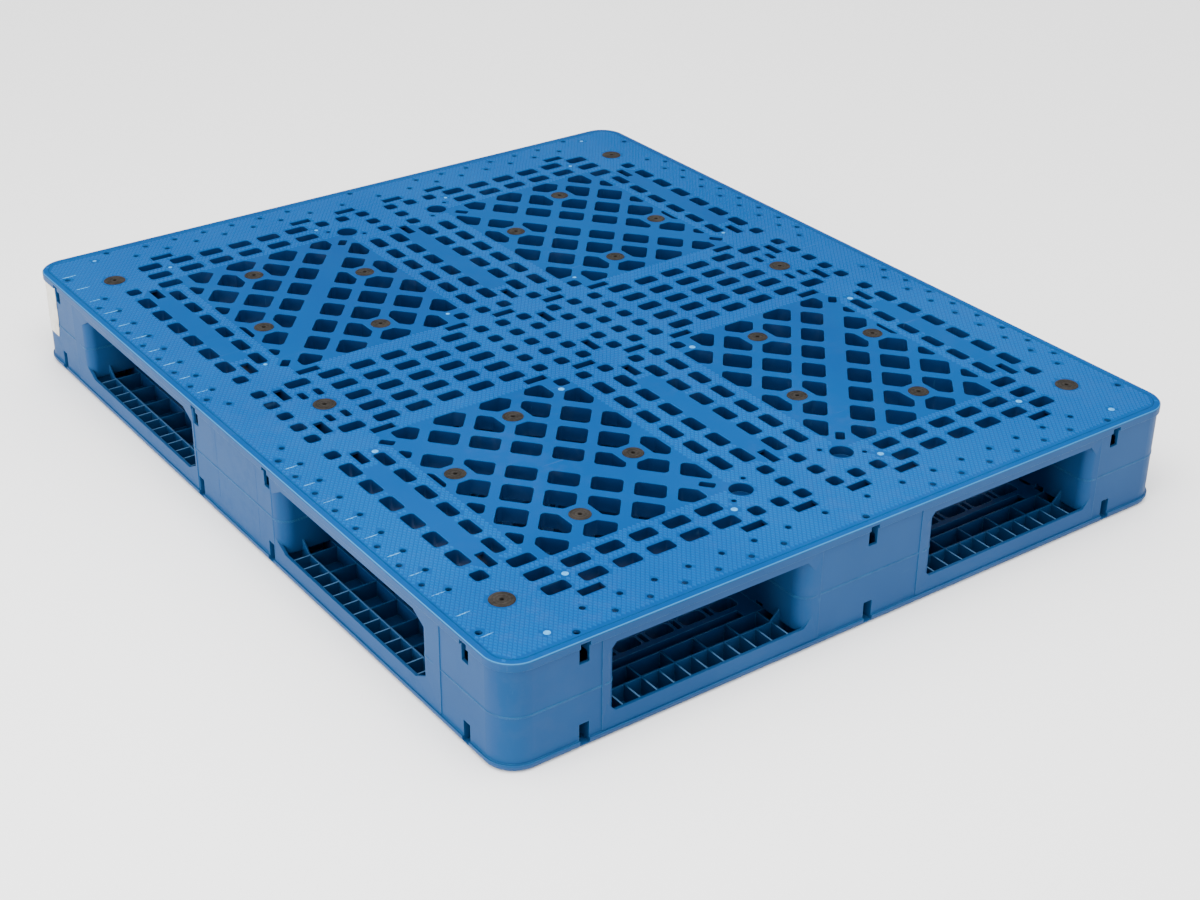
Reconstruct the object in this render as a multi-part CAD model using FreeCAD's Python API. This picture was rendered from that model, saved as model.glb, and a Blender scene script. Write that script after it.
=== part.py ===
import FreeCAD, Part
import math
import os

# Four-way plastic pallet, moulded as a top shell and a base shell that are welded together at
# mid-height, with rubber grommets pressed into the deck and a blank label round one corner.
# Millimetres, +Z up. The origin is on the floor under the middle of the deck, X across the
# short side and Y along the long side. The moulding is alike in all four quadrants, so most
# places are given once, as distances from the two centre lines.

V = FreeCAD.Vector

# ---- overall ----
WIDTH = 1016.0                # X
LENGTH = 1219.2               # Y
HEIGHT = 139.0                # top face of the deck, without the grommets
CORNER_R = 38.0               # upright corners of the outline

# ---- shells ----
DECK_T = 4.0                  # deck and base plates
WALL = 4.0                    # skirt and block walls
RIB_T = 2.0                   # ribs between the cells of the edge beams
BEAM_RIB_X = 31.0             # rib along each beam, from the long edges
BEAM_RIB_Y = 40.0             # and from the short edges
BEAM_INNER = 3.0              # between the inner cells of a side beam and its slots
MIN_CELL = 8.0                # a beam cell narrower than this isn't split off
CORNER_PAD = 48.0             # solid corner of the beams, with one cell
CORNER_CELL = 22.0
CORNER_CELL_X, CORNER_CELL_Y = 30.0, 28.0             # its centre, from the edges
BEAM_TOP = 20.0               # depth of the top beams, from the deck down to the fork tunnels
BEAM_BASE = 30.0              # height of the base skirt under the fork tunnels
RIB_DROP = 4.0                # base ribs stop this far below the top of the base skirt
RIM_H = 10.0                  # band round the top and the bottom edge
RIM_OUT = 2.5                 # how far the bands stand out from the walls
TOP_BEVEL = 1.5
GROOVE_IN = 9.0               # groove round the deck, from its edge to the groove's middle
GROOVE_W = 1.2
GROOVE_D = 0.6
BASE_BEVEL = 7.0              # rounded foot of the base band
BEAD_OUT = 0.5                # weld bead round the blocks
BEAD_H = 1.2

# ---- blocks and fork tunnels ----
CORNER_BLOCK_X = 146.0
CORNER_BLOCK_Y = 166.6
MID_BLOCK_X = 208.0
MID_BLOCK_Y = 248.0
MOUTH_R = 18.0                # rounding of the middle blocks at a tunnel's mouth
CORNER_MOUTH_R = 13.0         # the same on the corner blocks
GUSSET_X, GUSSET_X_H = 12.0, 14.0     # corner gussets of the openings in the short sides
GUSSET_Y, GUSSET_Y_H = 25.0, 14.0     # the same in the long sides
GUSSET_ROOT = 14.0            # how far these gussets run back into their block
CROSS_RIB_X, CROSS_RIB_Y = 15.0, 12.0 # cross ribs inside the blocks, from their middle
RIB_GUSSET = 14.0             # where the long base ribs meet the blocks

# ---- hole pattern: steps from the edge, from the centre lines, and bars between holes ----
BAR = 13.4                    # plastic left between two slots
BAR_WALL = 3.2                # on each side of the cell that cores out such a bar
MID_BAR_CELL = 8.0            # cell between the two middle columns, and between middle rows
SIDE_BAR_CELLS = (7.0, 6.0)   # cells beside a lattice field, inner and outer
SLOT_R = 5.0
SMALL_SLOT_R = 3.0
EDGE_ROW_1 = 98.8             # slot rows, from the short edges
EDGE_ROW_2 = 132.0
EDGE_ROW_3 = 165.8
ROW_H = 19.5
EDGE_COL_1 = 79.6             # slot columns, from the long edges
EDGE_COL_1_W = 19.0
EDGE_COL_2 = 126.0
EDGE_COL_2_W = 16.5
MID_COLS = (24.9, 59.3)       # slot columns and square holes beside the centre line
MID_COL_W = 19.5
SQUARE_W = 18.6
BAND_ROW = 35.0               # step of the rows in the middle band
SLOTS_X_FROM = 114.5          # the five long slots of a row start here, from the centre line
SLOTS_X_TO_EDGE = 160.5       # and end this far from the long edge
N_SLOTS_X = 5
SLOTS_Y_FROM = 139.9
SLOTS_Y_TO_EDGE = 185.6
N_SLOTS_Y = 6
END_SLOT_EDGE = 134.6         # outermost slot of a row, from the long edge
HALF_SLOT_W = 10.0            # the pair of short slots that takes its place in one row
HALF_SLOT_OFF = 11.3
SQUARE_ROW = 119.9            # row of square holes beside the middle band
THIRD_SQUARE = 94.2           # third square hole of a row, from the centre line

# ---- lattice fields ----
LAT_FROM_X, LAT_TO_EDGE_X = 84.0, 148.0
LAT_FROM_Y, LAT_TO_EDGE_Y = 109.0, 154.1
LAT_IN_X, LAT_OUT_X = 12.0, 28.1      # first and last rib crossing, from the field's sides
LAT_IN_Y, LAT_OUT_Y = 13.0, 14.3
LAT_NX, LAT_NY = 7, 8
LAT_RIB = 13.0
LAT_BAND = 27.5               # broad diagonal rib
BAND_WALL = 4.5               # on each side of the cells that core out the broad rib
LAT_WALL = 3.25               # the same for the other ribs
RIB_CELL_SHARE = 0.62         # length of such a cell, in steps of the lattice
LAT_FLAT_OUT, LAT_FLAT_IN = 16.5, 35.5        # the field's corner cells stop short by this
LAT_R = 6.0
LAT_MIN_AREA = 90.0           # a cell cut smaller than this stays closed
BAND_WINDOW = (20.0, 12.0)    # window at each end of the broad rib

# ---- channels for stiffening bars ----
CHANNEL_W = 13.0
CHANNEL_EDGE_X = 103.7        # channels along Y, from the long edges, and one on the centre
CHANNEL_EDGE_Y = 74.5         # channels along X, from the short edges
CHANNEL_MID_Y = 95.3          # channels along X, beside the middle band
MOUTH_DEPTH = 27.0            # height of a channel's mouth in the walls
TAB_T = 3.0                   # tabs that close a channel under each window
WINDOW_L = 32.0
WINDOW_OFF = 20.0             # beside the centre of the first or last slot
WINDOW_MID_X = 41.5           # nearest the centre line
WINDOW_R = 1.0
TAB_SHORT = 4.0               # a tab is this much shorter than its window

# ---- small holes ----
DRAIN_R = 4.0
DRAIN_ROW_1, DRAIN_ROW_2 = 26.6, 50.3         # rows of drains, from the short edges
DRAIN_COL_1, DRAIN_COL_2 = 19.0, 38.0         # columns of drains, from the long edges
DRAINS_MID = (88.0, 32.5)     # last drains of a row, from the centre line
SPOT_R = 4.5                  # hole over each end of a channel
SPOT_EDGE_Y, SPOT_EDGE_X = 17.0, 20.0
LOCATOR_R = 15.0
LOCATOR_X, LOCATOR_EDGE_Y = 78.2, 146.4
LOCATOR_DEPTH = 12.0
LOCATOR_BORE_R = 5.0
PIN_HOLE_R = 3.5
PIN_HOLES = ((-18.7, -18.9), (23.3, 15.6))            # from the locator's centre

# ---- grommets ----
GROMMET_R, GROMMET_SMALL_R = 15.0, 13.5
GROMMET_HEAD_T = 3.0
GROMMET_PROUD = 0.7
GROMMET_STEM_R = 9.0
GROMMET_BARB_R = 10.5
GROMMET_BARB_H = 4.0
GROMMET_BARB_LIP = 1.5
GROMMET_SET = 1.0             # barb's lower end, above the fork tunnels
GROMMET_BORE_R = 2.6
GROMMET_GAP = 0.2             # clearance round the head, the stem and the barb
GROMMET_RING = 20.5           # solid ring that carries a grommet in the lattice
CORNER_GROMMET_X, CORNER_GROMMET_Y = 74.0, 112.6      # from the edges
SIDE_GROMMET_EDGE = 135.2

# ---- label ----
LABEL_T = 0.35
LABEL_Z0, LABEL_Z1 = 50.0, 128.0
LABEL_SIDE = 28.0             # length on each flat side beyond the corner

HX, HY = WIDTH / 2, LENGTH / 2
SEAM = HEIGHT / 2
CEILING = HEIGHT - BEAM_TOP
BARB_TOP = CEILING + GROMMET_SET + GROMMET_BARB_H
RIB_TOP = BEAM_BASE - RIB_DROP
QUADRANTS = ((1, 1), (-1, 1), (-1, -1), (1, -1))
CHANNELS_Y = (0.0, HX - CHANNEL_EDGE_X)               # x of the channels along Y
CHANNELS_X = (CHANNEL_MID_Y, HY - CHANNEL_EDGE_Y)     # y of the channels along X
ROWS = (HY - EDGE_ROW_1, HY - EDGE_ROW_2, HY - EDGE_ROW_3)
COLS = (HX - EDGE_COL_1, HX - EDGE_COL_2)
PITCH_X = (HX - SLOTS_X_TO_EDGE - SLOTS_X_FROM) / N_SLOTS_X
PITCH_Y = (HY - SLOTS_Y_TO_EDGE - SLOTS_Y_FROM) / N_SLOTS_Y
SLOTS_X = [SLOTS_X_FROM + PITCH_X * (i + 0.5) for i in range(N_SLOTS_X)]
SLOTS_Y = [SLOTS_Y_FROM + PITCH_Y * (i + 0.5) for i in range(N_SLOTS_Y)]
SLOT_LEN_X = PITCH_X - BAR
SLOT_LEN_Y = PITCH_Y - BAR
END_SLOT = HX - END_SLOT_EDGE
LAT_TO_X, LAT_TO_Y = HX - LAT_TO_EDGE_X, HY - LAT_TO_EDGE_Y
STEP_X = (LAT_TO_X - LAT_OUT_X - LAT_FROM_X - LAT_IN_X) / LAT_NX
STEP_Y = (LAT_TO_Y - LAT_OUT_Y - LAT_FROM_Y - LAT_IN_Y) / LAT_NY


# ---- plane outlines: a loop is a list of corners with one corner radius, or a circle ----
def box_loop(x, y, width, height, radius=0.0):
    """Rectangle about (x, y)."""
    a, b = width / 2, height / 2
    points = [(x - a, y - b), (x + a, y - b), (x + a, y + b), (x - a, y + b)]
    return {"points": points, "radius": radius}


def span_loop(x0, x1, y0, y1, radius=0.0):
    """Rectangle between two pairs of limits."""
    return box_loop((x0 + x1) / 2, (y0 + y1) / 2, x1 - x0, y1 - y0, radius)


def turned_loop(x, y, length, width, direction, radius=0.0):
    """Rectangle about (x, y) with its length along a direction."""
    ux, uy = direction
    a, b = length / 2, width / 2
    corners = ((-a, -b), (a, -b), (a, b), (-a, b))
    points = [(x + p * ux - q * uy, y + p * uy + q * ux) for p, q in corners]
    return {"points": points, "radius": radius}


def round_loop(x, y, radius):
    return {"centre": (x, y), "radius": radius}


def mirrored(loop, sx, sy):
    if "centre" in loop:
        return {"centre": (loop["centre"][0] * sx, loop["centre"][1] * sy), "radius": loop["radius"]}
    points = [(x * sx, y * sy) for x, y in loop["points"]]
    return {"points": points if sx * sy > 0 else points[::-1], "radius": loop["radius"]}


def middle_of(loop):
    if "centre" in loop:
        return loop["centre"]
    xs, ys = zip(*loop["points"])
    return (min(xs) + max(xs)) / 2, (min(ys) + max(ys)) / 2


def in_all_quadrants(loops):
    """Each loop in all four quadrants, once only if it lies on a centre line."""
    out = []
    for loop in loops:
        x, y = middle_of(loop)
        for sx, sy in QUADRANTS:
            if (abs(x) < 1e-6 and sx < 0) or (abs(y) < 1e-6 and sy < 0):
                continue
            out.append(mirrored(loop, sx, sy))
    return out


def wire_of(loop, z):
    """Closed wire of a loop at a height, its corners rounded as far as its sides allow."""
    if "centre" in loop:
        x, y = loop["centre"]
        return Part.Wire([Part.Circle(V(x, y, z), V(0, 0, 1), loop["radius"]).toShape()])
    corners = [V(x, y, z) for x, y in loop["points"]]
    radii = loop["radius"]
    if not isinstance(radii, (list, tuple)):
        radii = [radii] * len(corners)
    ends, edges = [], []
    for i, corner in enumerate(corners):
        back, ahead = corners[i - 1] - corner, corners[(i + 1) % len(corners)] - corner
        turn = math.tan(back.getAngle(ahead) / 2)
        reach = min(radii[i] / turn, 0.45 * back.Length, 0.45 * ahead.Length)
        back.normalize()
        ahead.normalize()
        if reach < 0.05:
            ends.append((corner, None, corner))
            continue
        inward = back + ahead
        inward.normalize()
        half = math.atan(turn)
        top = corner + inward * (reach / math.cos(half) - reach * math.tan(half))
        ends.append((corner + back * reach, top, corner + ahead * reach))
    for i, (start, top, end) in enumerate(ends):
        if top is not None:
            edges.append(Part.Arc(start, top, end).toShape())
        edges.append(Part.LineSegment(end, ends[(i + 1) % len(ends)][0]).toShape())
    return Part.Wire(edges)


def face_of(outer, inner, z):
    """Flat face at a height, with holes that don't touch."""
    wires = [wire_of(outer, z)]
    for loop in inner:
        hole = wire_of(loop, z)
        hole.reverse()
        wires.append(hole)
    return Part.Face(wires)


def prism(outer, z0, z1, inner=()):
    return face_of(outer, inner, z0).extrude(V(0, 0, z1 - z0))


def box(x0, x1, y0, y1, z0, z1):
    return Part.makeBox(x1 - x0, y1 - y0, z1 - z0, V(x0, y0, z0))


def wall_between(loop, z0, z1):
    return wire_of(loop, z0).extrude(V(0, 0, z1 - z0)).Faces


def outline(inset):
    """The pallet's outline in plan, moved inwards."""
    return box_loop(0, 0, WIDTH - 2 * inset, LENGTH - 2 * inset, CORNER_R - inset)


def sloped_walls(levels):
    """Faces up an outline given as (height, inset) pairs; equal heights give a flat step."""
    faces = []
    for (z0, inset0), (z1, inset1) in zip(levels, levels[1:]):
        if z0 == z1:
            outer, inner = min(inset0, inset1), max(inset0, inset1)
            faces.append(face_of(outline(outer), [outline(inner)], z0))
            continue
        if inset0 == inset1:
            faces += wall_between(outline(inset0), z0, z1)
            continue
        lower, upper = wire_of(outline(inset0), z0), wire_of(outline(inset1), z1)
        for a, b in zip(lower.Edges, upper.Edges):
            faces.append(Part.makeRuledSurface(a, b))
    return faces


def closed_solid(faces):
    """Solid from faces that meet edge to edge."""
    skin = Part.Compound(faces)
    skin.sewShape()
    solid = Part.Solid(skin.Shells[0])
    if solid.Volume < 0:
        solid.reverse()
    return solid


def inside(loop, cell):
    x, y = loop["centre"]
    xs, ys = zip(*cell["points"])
    return min(xs) < x < max(xs) and min(ys) < y < max(ys)


def ribbed_plate(levels, holes, drains, sockets, cells, plate_on_top):
    """Plate with ribs on one side. Holes go right through, drains too, but where a drain lies in
    a cell it only pierces the plate. Cells are blind and open on the rib side. A socket is a
    stepped round hole: (x, y, [(height, radius), ...]) from the bottom up."""
    z0, z1 = levels[0][0], levels[-1][0]
    floor = z1 - DECK_T if plate_on_top else z0 + DECK_T
    plate, ribs = ((floor, z1), (z0, floor)) if plate_on_top else ((z0, floor), (floor, z1))
    faces = sloped_walls(levels)
    on_plate, on_ribs = list(holes), list(holes)
    for loop in holes:
        faces += wall_between(loop, z0, z1)
    for x, y, steps in sockets:
        for (low, radius), (high, next_radius) in zip(steps, steps[1:]):
            faces += wall_between(round_loop(x, y, radius), low, high)
            if next_radius != radius:
                wide, narrow = max(radius, next_radius), min(radius, next_radius)
                faces.append(face_of(round_loop(x, y, wide), [round_loop(x, y, narrow)], high))
        ends = (steps[0][1], steps[-1][1])
        on_ribs.append(round_loop(x, y, ends[0] if plate_on_top else ends[1]))
        on_plate.append(round_loop(x, y, ends[1] if plate_on_top else ends[0]))
    in_cells = []
    for loop in cells:
        pierced = [drain for drain in drains if inside(drain, loop)]
        in_cells += pierced
        faces += wall_between(loop, *ribs)
        faces.append(face_of(loop, pierced, floor))
        on_ribs.append(loop)
    for drain in drains:
        faces += wall_between(drain, *(plate if drain in in_cells else (z0, z1)))
        on_plate.append(drain)
        if drain not in in_cells:
            on_ribs.append(drain)
    top, bottom = (on_plate, on_ribs) if plate_on_top else (on_ribs, on_plate)
    faces.append(face_of(outline(levels[0][1]), bottom, z0))
    faces.append(face_of(outline(levels[-1][1]), top, z1))
    return closed_solid(faces)


# ---- hole pattern ----
def slot_holes():
    """Slots and square holes of one quadrant, outside the lattice fields."""
    loops = []
    for y in ROWS[:2]:
        loops += [box_loop(x, y, SLOT_LEN_X, ROW_H, SLOT_R) for x in SLOTS_X + [END_SLOT]]
    squares = MID_COLS + (THIRD_SQUARE,)
    loops += [box_loop(x, ROWS[0], SQUARE_W, ROW_H, SLOT_R) for x in squares]
    loops += [box_loop(MID_COLS[0], y, SQUARE_W, ROW_H, SLOT_R) for y in ROWS[1:]]
    loops.append(box_loop(COLS[0], ROWS[2], EDGE_COL_1_W, ROW_H, SLOT_R))
    loops.append(box_loop(END_SLOT, ROWS[2], SLOT_LEN_X, ROW_H, SLOT_R))
    for x, width in zip(COLS + MID_COLS, (EDGE_COL_1_W, EDGE_COL_2_W, MID_COL_W, SQUARE_W)):
        loops += [box_loop(x, y, width, SLOT_LEN_Y, SLOT_R) for y in SLOTS_Y]
    squares += COLS[:1]
    loops += [box_loop(x, SQUARE_ROW, SQUARE_W, ROW_H, SLOT_R) for x in squares]
    for k in range(3):
        y = BAND_ROW * k
        loops += [box_loop(x, y, SLOT_LEN_X, ROW_H, SLOT_R) for x in SLOTS_X]
        loops += [box_loop(x, y, SQUARE_W, ROW_H, SLOT_R) for x in squares]
    loops.append(box_loop(END_SLOT, 2 * BAND_ROW, SLOT_LEN_X, ROW_H, SLOT_R))
    for x in (END_SLOT - HALF_SLOT_OFF, END_SLOT + HALF_SLOT_OFF):
        loops.append(box_loop(x, BAND_ROW, HALF_SLOT_W, ROW_H, SMALL_SLOT_R))
    return loops


def drain_holes(shift):
    """Small round holes of the edge beams, one quadrant. The outer ones of the base are shifted
    by part of a pitch, to the middle of its narrower cells."""
    xs = [SLOTS_X_FROM + PITCH_X * (i + shift) for i in range(N_SLOTS_X + 1)]
    ys = [SLOTS_Y_FROM + PITCH_Y * (i + shift) for i in range(N_SLOTS_Y + 1)]
    more_ys = (SLOTS_Y[-1] + PITCH_Y, SLOTS_Y[0] - PITCH_Y, 2 * BAND_ROW)
    places = [(x, HY - DRAIN_ROW_1) for x in xs]
    places += [(x, HY - DRAIN_ROW_2) for x in (*SLOTS_X, END_SLOT, *DRAINS_MID)]
    places += [(HX - DRAIN_COL_1, y) for y in ys]
    places += [(HX - DRAIN_COL_2, y) for y in (*SLOTS_Y, *more_ys)]
    return [round_loop(x, y, DRAIN_R) for x, y in places]


def channel_windows():
    """Windows in a plate over the channels, one quadrant: (loop, along) pairs."""
    out = []
    for y in CHANNELS_X:
        for x in (SLOTS_X[-1] + WINDOW_OFF, SLOTS_X[0] - WINDOW_OFF, WINDOW_MID_X):
            out.append((box_loop(x, y, WINDOW_L, CHANNEL_W, WINDOW_R), "x"))
    for x in CHANNELS_Y:
        for y in (SLOTS_Y[-1] + WINDOW_OFF, SLOTS_Y[0] - WINDOW_OFF, 1.5 * BAND_ROW):
            out.append((box_loop(x, y, CHANNEL_W, WINDOW_L, WINDOW_R), "y"))
    return out


def spot_holes():
    """Round hole through a plate over each end of the channels, one quadrant."""
    places = [(x, HY - SPOT_EDGE_Y) for x in CHANNELS_Y]
    places += [(HX - SPOT_EDGE_X, y) for y in CHANNELS_X]
    return [round_loop(x, y, SPOT_R) for x, y in places]


def clipped(points, nx, ny, limit):
    """Part of a convex polygon where nx * x + ny * y <= limit."""
    out = []
    for i, (x0, y0) in enumerate(points):
        x1, y1 = points[(i + 1) % len(points)]
        a, b = nx * x0 + ny * y0 - limit, nx * x1 + ny * y1 - limit
        if a <= 0:
            out.append((x0, y0))
        if a * b < 0:
            t = a / (a - b)
            out.append((x0 + t * (x1 - x0), y0 + t * (y1 - y0)))
    return out


def area_of(points):
    pairs = zip(points, points[1:] + points[:1])
    return abs(sum(x0 * y1 - x1 * y0 for (x0, y0), (x1, y1) in pairs)) / 2


def lattice_point(i, j):
    """Crossing or cell centre of the lattice, counted inwards in X and outwards in Y."""
    return LAT_TO_X - LAT_OUT_X - STEP_X * i, LAT_FROM_Y + LAT_IN_Y + STEP_Y * j


LAT_GROMMETS = [lattice_point(i, j) for i, j in ((2, 7), (0, 3), (4, 1), (6, 5))]
DIAGONAL = math.hypot(STEP_X, STEP_Y)
ALONG = (-STEP_X / DIAGONAL, STEP_Y / DIAGONAL)       # direction of the broad rib
ACROSS = (STEP_Y / DIAGONAL, STEP_X / DIAGONAL)
BAND_ENDS = (lattice_point(-0.8, 0.2), lattice_point(6.77, 7.77))
BAND_AT = ACROSS[0] * lattice_point(0, 1)[0] + ACROSS[1] * lattice_point(0, 1)[1]


def lattice_cells():
    """Diamond openings of one lattice field, cut off by its sides, rings and broad rib."""
    half = STEP_X * STEP_Y / DIAGONAL - LAT_RIB / 2
    far = 2 * DIAGONAL
    cells = []
    for i in range(-1, LAT_NX + 1):
        for j in range(LAT_NY + 1):
            if (i + j) % 2:
                continue
            cx, cy = lattice_point(i, j)
            shape = box_loop(cx, cy, 2 * far, 2 * far)["points"]
            for nx, ny in (ACROSS, (ACROSS[0], -ACROSS[1])):
                middle = nx * cx + ny * cy
                shape = clipped(shape, nx, ny, middle + half)
                shape = clipped(shape, -nx, -ny, half - middle)
            side = 1 if ACROSS[0] * cx + ACROSS[1] * cy > BAND_AT else -1
            shape = clipped(shape, -side * ACROSS[0], -side * ACROSS[1], -side * BAND_AT - LAT_BAND / 2)
            shape = clipped(shape, 1, 0, LAT_TO_X)
            shape = clipped(shape, -1, 0, -LAT_FROM_X)
            shape = clipped(shape, 0, 1, LAT_TO_Y)
            shape = clipped(shape, 0, -1, -LAT_FROM_Y)
            if j in (0, LAT_NY) and i == 0:
                shape = clipped(shape, 1, 0, LAT_TO_X - LAT_FLAT_OUT)
            if j in (0, LAT_NY) and i == LAT_NX - 1:
                shape = clipped(shape, -1, 0, -LAT_FROM_X - LAT_FLAT_IN)
            if i == LAT_NX and j == 1:
                shape = clipped(shape, 0, -1, -(SQUARE_ROW + ROW_H / 2 + BAR))
            for gx, gy in LAT_GROMMETS:
                gap = math.hypot(cx - gx, cy - gy)
                if gap < 1.05 * max(STEP_X, STEP_Y):
                    nx, ny = (cx - gx) / gap, (cy - gy) / gap
                    shape = clipped(shape, -nx, -ny, -(nx * gx + ny * gy) - GROMMET_RING)
            if len(shape) > 2 and area_of(shape) > LAT_MIN_AREA:
                cells.append({"points": shape, "radius": LAT_R})
    return cells


def band_windows():
    """Window at each end of the broad rib."""
    length, width = BAND_WINDOW
    return [turned_loop(x, y, length, width, ALONG, SMALL_SLOT_R) for x, y in BAND_ENDS]


# ---- blind cells between the ribs ----
def beam_cells(fine):
    """Cells of the edge beams in one quadrant, in two rows along each side. In the base the
    outer row has twice as many ribs."""
    t, gap = RIB_T / 2, CHANNEL_W / 2 + RIB_T
    outer = (0.0, 2) if fine else (0.5, 1)            # phase and split of the outer row's ribs
    loops = []
    channel = CHANNELS_Y[1]
    stops = [(CHANNELS_Y[0] + gap, channel - gap), (channel + gap, HX - CORNER_PAD)]
    rows = ((HY - BEAM_RIB_Y + t, HY - RIM_OUT - WALL, *outer),
            (CHANNELS_X[1] + gap, HY - BEAM_RIB_Y - t, 0.0, 1))
    for y0, y1, phase, split in rows:
        ribs = [SLOTS_X_FROM + PITCH_X * (i + phase) / split for i in range(-8, 24)]
        for low, high in stops:
            between = [x for x in ribs if low + MIN_CELL < x < high - MIN_CELL]
            edges = [low - t] + between + [high + t]
            loops += [span_loop(a + t, b - t, y0, y1) for a, b in zip(edges, edges[1:])]
    near, far = CHANNELS_X
    stops = [(t, near - gap), (near + gap, far - gap)]
    cols = ((HX - BEAM_RIB_X + t, HX - RIM_OUT - WALL, *outer),
            (COLS[0] + EDGE_COL_1_W / 2 + BEAM_INNER, HX - BEAM_RIB_X - t, 0.0, 1))
    for x0, x1, phase, split in cols:
        ribs = [SLOTS_Y_FROM + PITCH_Y * (i + phase) / split for i in range(-8, 28)]
        for low, high in stops:
            clear = HY - CORNER_GROMMET_Y - GROMMET_RING
            top = min(high, clear) if x0 < HX - BEAM_RIB_X else high
            between = [y for y in ribs if low + MIN_CELL < y < top - MIN_CELL]
            edges = [low - t] + between + [top + t]
            loops += [span_loop(x0, x1, a + t, b - t) for a, b in zip(edges, edges[1:])]
    loops.append(box_loop(HX - CORNER_CELL_X, HY - CORNER_CELL_Y, CORNER_CELL, CORNER_CELL))
    return loops


def bar_cells():
    """Narrow blind cells that core out the bars between slots, one quadrant."""
    core = BAR - 2 * BAR_WALL
    bars_x = [SLOTS_X_FROM + PITCH_X * i for i in range(1, N_SLOTS_X)]
    bars_y = [SLOTS_Y_FROM + PITCH_Y * i for i in range(1, N_SLOTS_Y)]
    loops = []
    for y in ROWS[:2] + (0.0, BAND_ROW, 2 * BAND_ROW):
        loops += [box_loop(x, y, core, ROW_H - 1) for x in bars_x]
    loops += [box_loop(x, (ROWS[0] + ROWS[1]) / 2, SLOT_LEN_X - 1, core) for x in SLOTS_X]
    for y in (0.5 * BAND_ROW, 1.5 * BAND_ROW):
        loops += [box_loop(x, y, SLOT_LEN_X - 1, MID_BAR_CELL) for x in SLOTS_X]
    for x, width in zip(COLS + MID_COLS, (EDGE_COL_1_W, EDGE_COL_2_W, MID_COL_W, SQUARE_W)):
        loops += [box_loop(x, y, width - 1, core) for y in bars_y]
    between = (MID_COLS[0] + MID_COLS[1]) / 2
    inner = (LAT_FROM_X + MID_COLS[1] + MID_COL_W / 2) / 2
    outer = (LAT_TO_X + COLS[1] - EDGE_COL_2_W / 2) / 2
    for x, width in ((between, MID_BAR_CELL), (inner, SIDE_BAR_CELLS[0]), (outer, SIDE_BAR_CELLS[1])):
        loops += [box_loop(x, y, width, SLOT_LEN_Y - 1) for y in SLOTS_Y]
    return loops


def lattice_rib_cells():
    """Blind cells that core out the lattice ribs of one field, clear of its rings, its windows and
    the square hole at its inner corner."""
    square_reach = (RIB_CELL_SHARE * DIAGONAL + math.hypot(SQUARE_W, ROW_H)) / 2
    loops = []
    for i in range(LAT_NX):
        for j in range(LAT_NY):
            x, y = lattice_point(i + 0.5, j + 0.5)
            off_band = abs(ACROSS[0] * x + ACROSS[1] * y - BAND_AT)
            on_band = off_band < 1.0
            obstacles = [math.hypot(x - p, y - q) for p, q in LAT_GROMMETS + list(BAND_ENDS)]
            beside_band = not on_band and off_band < LAT_BAND / 2 + 0.4 * DIAGONAL
            to_square = math.hypot(x - THIRD_SQUARE, y - SQUARE_ROW)
            if beside_band or min(obstacles) < 0.6 * DIAGONAL or to_square < square_reach:
                continue
            rises = (i + j) % 2 == 1
            direction = ALONG if rises else (ALONG[0], -ALONG[1])
            width = LAT_BAND - 2 * BAND_WALL if on_band else LAT_RIB - 2 * LAT_WALL
            loops.append(turned_loop(x, y, RIB_CELL_SHARE * DIAGONAL, width, direction))
    return loops


# ---- blocks ----
def block_limits(side, half, outer, middle):
    """Limits of a block along one axis: side is -1 or 1 for an outer block, 0 for a middle one."""
    if side == 0:
        return -middle / 2, middle / 2
    return sorted((side * (half - RIM_OUT), side * (half - outer)))


def block_spans():
    """Plan of each hollow block: its side of the pallet in X and in Y, then x0, x1, y0, y1."""
    spans = []
    for ix in (-1, 0, 1):
        for iy in (-1, 0, 1):
            x0, x1 = block_limits(ix, HX, CORNER_BLOCK_X, MID_BLOCK_X)
            y0, y1 = block_limits(iy, HY, CORNER_BLOCK_Y, MID_BLOCK_Y)
            spans.append((ix, iy, x0, x1, y0, y1))
    return spans


def block_loop(ix, iy, x0, x1, y0, y1, inset):
    """Outline of one block, with the outline's own corner radius at a corner of the pallet."""
    loop = span_loop(x0 + inset, x1 - inset, y0 + inset, y1 - inset)
    radii = []
    for sx, sy in ((-1, -1), (1, -1), (1, 1), (-1, 1)):
        outer = (ix == sx) + (iy == sy)
        if ix and iy:
            radius = CORNER_R - RIM_OUT if outer == 2 else CORNER_MOUTH_R
        else:
            radius = MOUTH_R
        radii.append(radius - inset)
    loop["radius"] = radii
    return loop


def block_walls(z0, z1, bead_z):
    """Hollow blocks between two heights, with the weld bead round the seam and cross ribs."""
    solids = []
    for ix, iy, x0, x1, y0, y1 in block_spans():
        span = (ix, iy, x0, x1, y0, y1)
        ring = prism(block_loop(*span, 0.0), z0, z1, [block_loop(*span, WALL)])
        bead_outline, core = block_loop(*span, -BEAD_OUT), block_loop(*span, WALL / 2)
        bead = prism(bead_outline, bead_z, bead_z + BEAD_H, [core])
        xm, ym = (x0 + x1) / 2 + CROSS_RIB_X, (y0 + y1) / 2 + CROSS_RIB_Y
        rib_x = box(x0 + WALL / 2, x1 - WALL / 2, ym, ym + RIB_T, z0, z1)
        rib_y = box(xm, xm + RIB_T, y0 + WALL / 2, y1 - WALL / 2, z0, z1)
        solids += [ring, bead, rib_x, rib_y]
    return solids


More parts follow.
